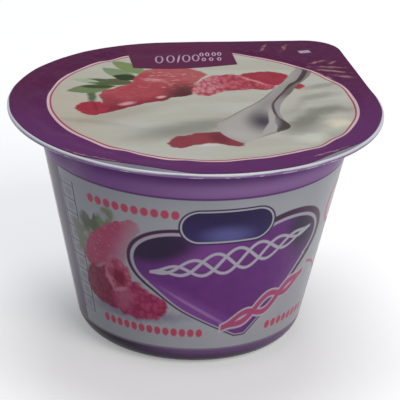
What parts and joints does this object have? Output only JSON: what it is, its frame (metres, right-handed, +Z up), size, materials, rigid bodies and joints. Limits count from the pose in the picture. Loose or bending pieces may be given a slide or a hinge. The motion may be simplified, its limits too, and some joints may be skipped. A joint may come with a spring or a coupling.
{
  "type": "yogurt pot",
  "caption": "Sealed round yogurt pot with a wide flat rim, a tapered wall with a rounded heel, a printed wrap label and a foil lid with a pull tab.",
  "frame": {"origin": "centre of the foot ring, on the surface the pot stands on", "axes": "+Z up along the pot's axis; -Y is the front of the label; the lid's pull tab points half way between +X and +Y"},
  "size_m": [0.095, 0.095, 0.0604],
  "materials": {
    "pot_plastic": "satin moulded white plastic",
    "label_print": "glossy printed film, purple, white and red",
    "lid_foil": "satin printed and lacquered foil, purple, cream and red"
  },
  "bodies": {
    "root": {"pot": "pot_plastic", "wrap_label": "label_print", "foil_lid": "lid_foil"}
  },
  "joints": []
}
